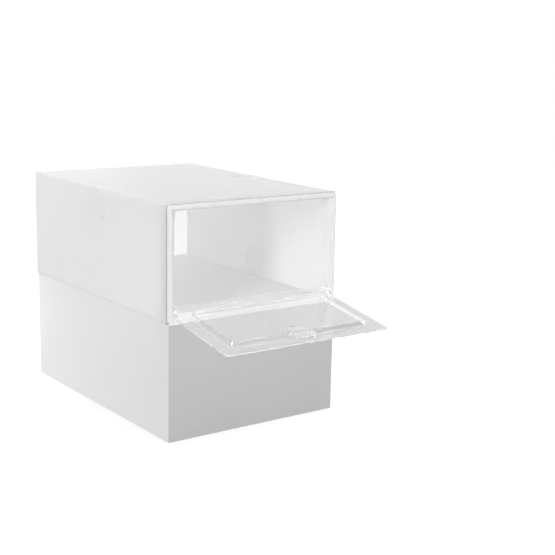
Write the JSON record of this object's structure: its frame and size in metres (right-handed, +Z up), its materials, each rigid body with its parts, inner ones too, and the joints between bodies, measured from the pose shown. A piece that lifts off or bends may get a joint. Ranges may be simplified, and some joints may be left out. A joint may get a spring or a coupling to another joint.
{
  "type": "shoe box",
  "caption": "Stackable shoe box that snaps together from milky plastic panels and a white front frame, with a clear drop-front door hinged along its lower edge.",
  "frame": {"origin": "middle of the floor panel's underside, on the surface that the box stands on", "axes": "+X to the box's right as seen from the open front, +Y from the front to the back, +Z up"},
  "size_m": [0.237, 0.442, 0.1462],
  "materials": {
    "panel": "milky translucent polypropylene, fine satin surface",
    "frame": "glossy white moulded plastic",
    "door": "clear colourless plastic, polished"
  },
  "bodies": {
    "box": {"front_frame": "frame", "top_panel": "panel", "floor_panel": "panel", "left_wall": "panel", "right_wall": "panel", "back_panel": "panel"},
    "door": {"door": "door"}
  },
  "joints": [
    {"name": "door_hinge", "type": "hinge", "parent": "box", "child": "door", "pos_m": [0, -0.1626, 0.0132], "axis": [-1, 0, 0], "range_deg": [0, 100]}
  ]
}
